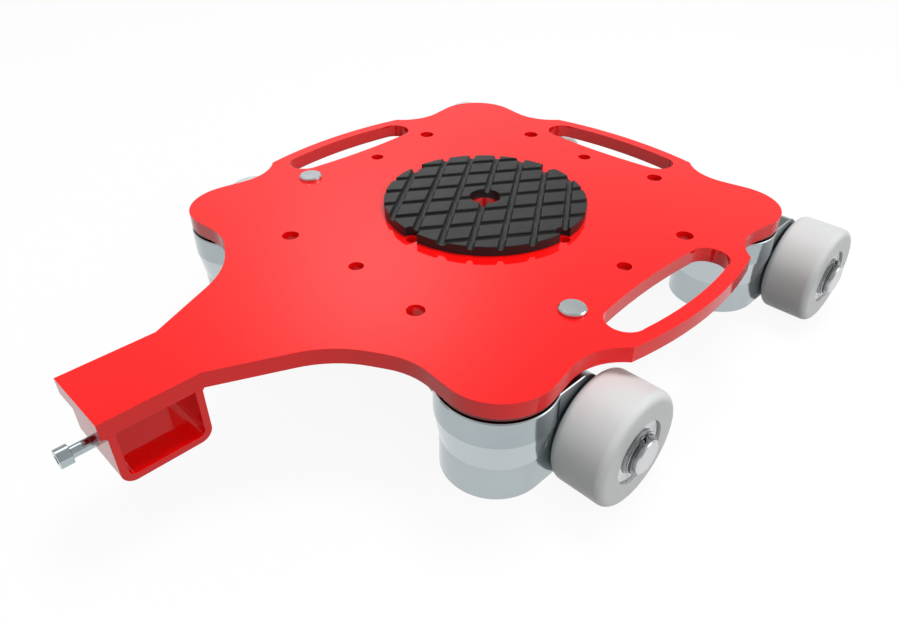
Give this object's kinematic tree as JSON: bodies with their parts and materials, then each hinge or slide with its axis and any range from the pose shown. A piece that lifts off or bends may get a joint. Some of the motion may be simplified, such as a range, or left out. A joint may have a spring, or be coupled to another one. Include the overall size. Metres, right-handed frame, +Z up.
{
  "type": "machine skate",
  "caption": "Low machine skate: a bowed steel deck plate with a grooved rubber load pad, hand slots and a tongue with a bar socket, carried on swivel casters with twin wheels.",
  "frame": {"origin": "axis of the centre bore, at the deck plate's flat top face; the floor is 102 mm below it", "axes": "+Z up, square to the deck; -Y towards the tongue and its bar socket, +Y towards the rear handle edge; +X to the right when looking along +Y"},
  "size_m": [0.467, 0.6083, 0.11],
  "materials": {
    "red_paint": "glossy red powder coat",
    "pad_rubber": "matte, moulded grooves",
    "housing_steel": "smooth bright plated",
    "nylon": "smooth moulded nylon",
    "bright_steel": "bright turned steel",
    "bearing_steel": "ground steel",
    "dark_steel": "dark oiled steel",
    "bronze": "plain bearing bronze"
  },
  "bodies": {
    "deck": {"deck_plate": "red_paint", "bar_socket": "red_paint", "rubber_pad": "pad_rubber", "swivel_plates": "dark_steel", "kingpins": "bright_steel", "upper_races": "bearing_steel", "kingpin_washers": "bright_steel", "kingpin_nuts": "bright_steel"},
    "clamp_screw": {"clamp_screw": "bright_steel"},
    "lock_pin_right": {"lock_pin_right": "bright_steel"},
    "lock_pin_left": {"lock_pin_left": "bright_steel"},
    "front_right_caster": {"front_right_housing": "housing_steel", "front_right_swivel_bush": "bronze", "front_right_lower_race": "bearing_steel", "front_right_balls": "bearing_steel", "front_right_axle": "bright_steel", "front_right_hub_sleeves": "bright_steel", "front_right_inner_rings": "bearing_steel", "front_right_circlips": "dark_steel"},
    "front_right_outer_wheel": {"front_right_outer_wheel": "nylon", "front_right_outer_wheel_bearings": "bearing_steel"},
    "front_right_inner_wheel": {"front_right_inner_wheel": "nylon", "front_right_inner_wheel_bearings": "bearing_steel"},
    "rear_right_caster": {"rear_right_housing": "housing_steel", "rear_right_swivel_bush": "bronze", "rear_right_lower_race": "bearing_steel", "rear_right_balls": "bearing_steel", "rear_right_axle": "bright_steel", "rear_right_hub_sleeves": "bright_steel", "rear_right_inner_rings": "bearing_steel", "rear_right_circlips": "dark_steel"},
    "rear_right_outer_wheel": {"rear_right_outer_wheel": "nylon", "rear_right_outer_wheel_bearings": "bearing_steel"},
    "rear_right_inner_wheel": {"rear_right_inner_wheel": "nylon", "rear_right_inner_wheel_bearings": "bearing_steel"},
    "rear_left_caster": {"rear_left_housing": "housing_steel", "rear_left_swivel_bush": "bronze", "rear_left_lower_race": "bearing_steel", "rear_left_balls": "bearing_steel", "rear_left_axle": "bright_steel", "rear_left_hub_sleeves": "bright_steel", "rear_left_inner_rings": "bearing_steel", "rear_left_circlips": "dark_steel"},
    "rear_left_outer_wheel": {"rear_left_outer_wheel": "nylon", "rear_left_outer_wheel_bearings": "bearing_steel"},
    "rear_left_inner_wheel": {"rear_left_inner_wheel": "nylon", "rear_left_inner_wheel_bearings": "bearing_steel"},
    "front_left_caster": {"front_left_housing": "housing_steel", "front_left_swivel_bush": "bronze", "front_left_lower_race": "bearing_steel", "front_left_balls": "bearing_steel", "front_left_axle": "bright_steel", "front_left_hub_sleeves": "bright_steel", "front_left_inner_rings": "bearing_steel", "front_left_circlips": "dark_steel"},
    "front_left_outer_wheel": {"front_left_outer_wheel": "nylon", "front_left_outer_wheel_bearings": "bearing_steel"},
    "front_left_inner_wheel": {"front_left_inner_wheel": "nylon", "front_left_inner_wheel_bearings": "bearing_steel"}
  },
  "joints": [
    {"name": "clamp_screw_travel", "type": "slide", "parent": "deck", "child": "clamp_screw", "axis": [0, 1, 0], "range_m": [0, 0.015]},
    {"name": "lock_pin_right_lift", "type": "slide", "parent": "deck", "child": "lock_pin_right", "axis": [0, 0, 1], "range_m": [0, 0.06]},
    {"name": "lock_pin_left_lift", "type": "slide", "parent": "deck", "child": "lock_pin_left", "axis": [0, 0, 1], "range_m": [0, 0.06]},
    {"name": "front_right_swivel", "type": "hinge", "parent": "deck", "child": "front_right_caster", "pos_m": [0.1475, -0.1475, -0.0158], "axis": [0, 0, 1], "continuous": true},
    {"name": "front_right_outer_wheel_spin", "type": "hinge", "parent": "front_right_caster", "child": "front_right_outer_wheel", "pos_m": [0.2065, -0.0975, -0.0595], "axis": [1, 0, 0], "continuous": true},
    {"name": "front_right_inner_wheel_spin", "type": "hinge", "parent": "front_right_caster", "child": "front_right_inner_wheel", "pos_m": [0.0885, -0.0975, -0.0595], "axis": [1, 0, 0], "continuous": true},
    {"name": "rear_right_swivel", "type": "hinge", "parent": "deck", "child": "rear_right_caster", "pos_m": [0.1475, 0.1475, -0.0158], "axis": [0, 0, 1], "continuous": true},
    {"name": "rear_right_outer_wheel_spin", "type": "hinge", "parent": "rear_right_caster", "child": "rear_right_outer_wheel", "pos_m": [0.2065, 0.1975, -0.0595], "axis": [1, 0, 0], "continuous": true},
    {"name": "rear_right_inner_wheel_spin", "type": "hinge", "parent": "rear_right_caster", "child": "rear_right_inner_wheel", "pos_m": [0.0885, 0.1975, -0.0595], "axis": [1, 0, 0], "continuous": true},
    {"name": "rear_left_swivel", "type": "hinge", "parent": "deck", "child": "rear_left_caster", "pos_m": [-0.1475, 0.1475, -0.0158], "axis": [0, 0, 1], "continuous": true},
    {"name": "rear_left_outer_wheel_spin", "type": "hinge", "parent": "rear_left_caster", "child": "rear_left_outer_wheel", "pos_m": [-0.2065, 0.1975, -0.0595], "axis": [1, 0, 0], "continuous": true},
    {"name": "rear_left_inner_wheel_spin", "type": "hinge", "parent": "rear_left_caster", "child": "rear_left_inner_wheel", "pos_m": [-0.0885, 0.1975, -0.0595], "axis": [1, 0, 0], "continuous": true},
    {"name": "front_left_swivel", "type": "hinge", "parent": "deck", "child": "front_left_caster", "pos_m": [-0.1475, -0.1475, -0.0158], "axis": [0, 0, 1], "continuous": true},
    {"name": "front_left_outer_wheel_spin", "type": "hinge", "parent": "front_left_caster", "child": "front_left_outer_wheel", "pos_m": [-0.2065, -0.0975, -0.0595], "axis": [1, 0, 0], "continuous": true},
    {"name": "front_left_inner_wheel_spin", "type": "hinge", "parent": "front_left_caster", "child": "front_left_inner_wheel", "pos_m": [-0.0885, -0.0975, -0.0595], "axis": [1, 0, 0], "continuous": true}
  ]
}
